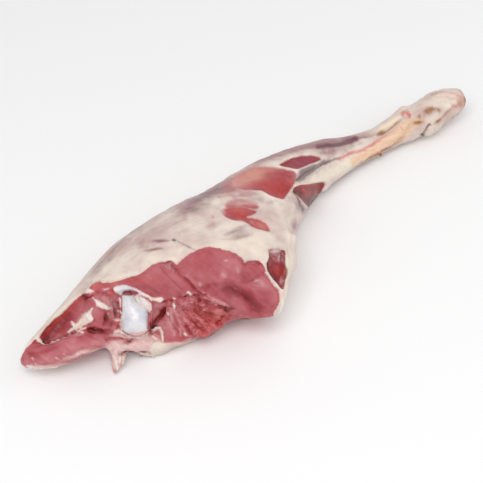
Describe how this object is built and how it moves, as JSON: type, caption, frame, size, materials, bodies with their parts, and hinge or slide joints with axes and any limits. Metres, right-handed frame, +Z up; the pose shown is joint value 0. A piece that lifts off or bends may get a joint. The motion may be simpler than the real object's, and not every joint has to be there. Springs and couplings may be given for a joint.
{
  "type": "raw leg of lamb",
  "caption": "Whole raw leg of lamb with shank and hock, fat side up, showing the butcher's cut and the ball of the thigh bone.",
  "frame": {"origin": "middle of the footprint, on the surface that the leg lies on", "axes": "+X along the leg from the butt to the hock, +Y to the side away from the butcher's cut, +Z up out of the fat side"},
  "size_m": [0.5314, 0.1458, 0.0972],
  "materials": {
    "meat_and_fat": "moist raw lamb: cream fat and membrane over mauve-red muscle, softly glossy",
    "bone_cartilage": "wet bluish-white cartilage over bone, glossy"
  },
  "bodies": {
    "root": {"leg": "meat_and_fat", "thigh_bone": "bone_cartilage"}
  },
  "joints": []
}
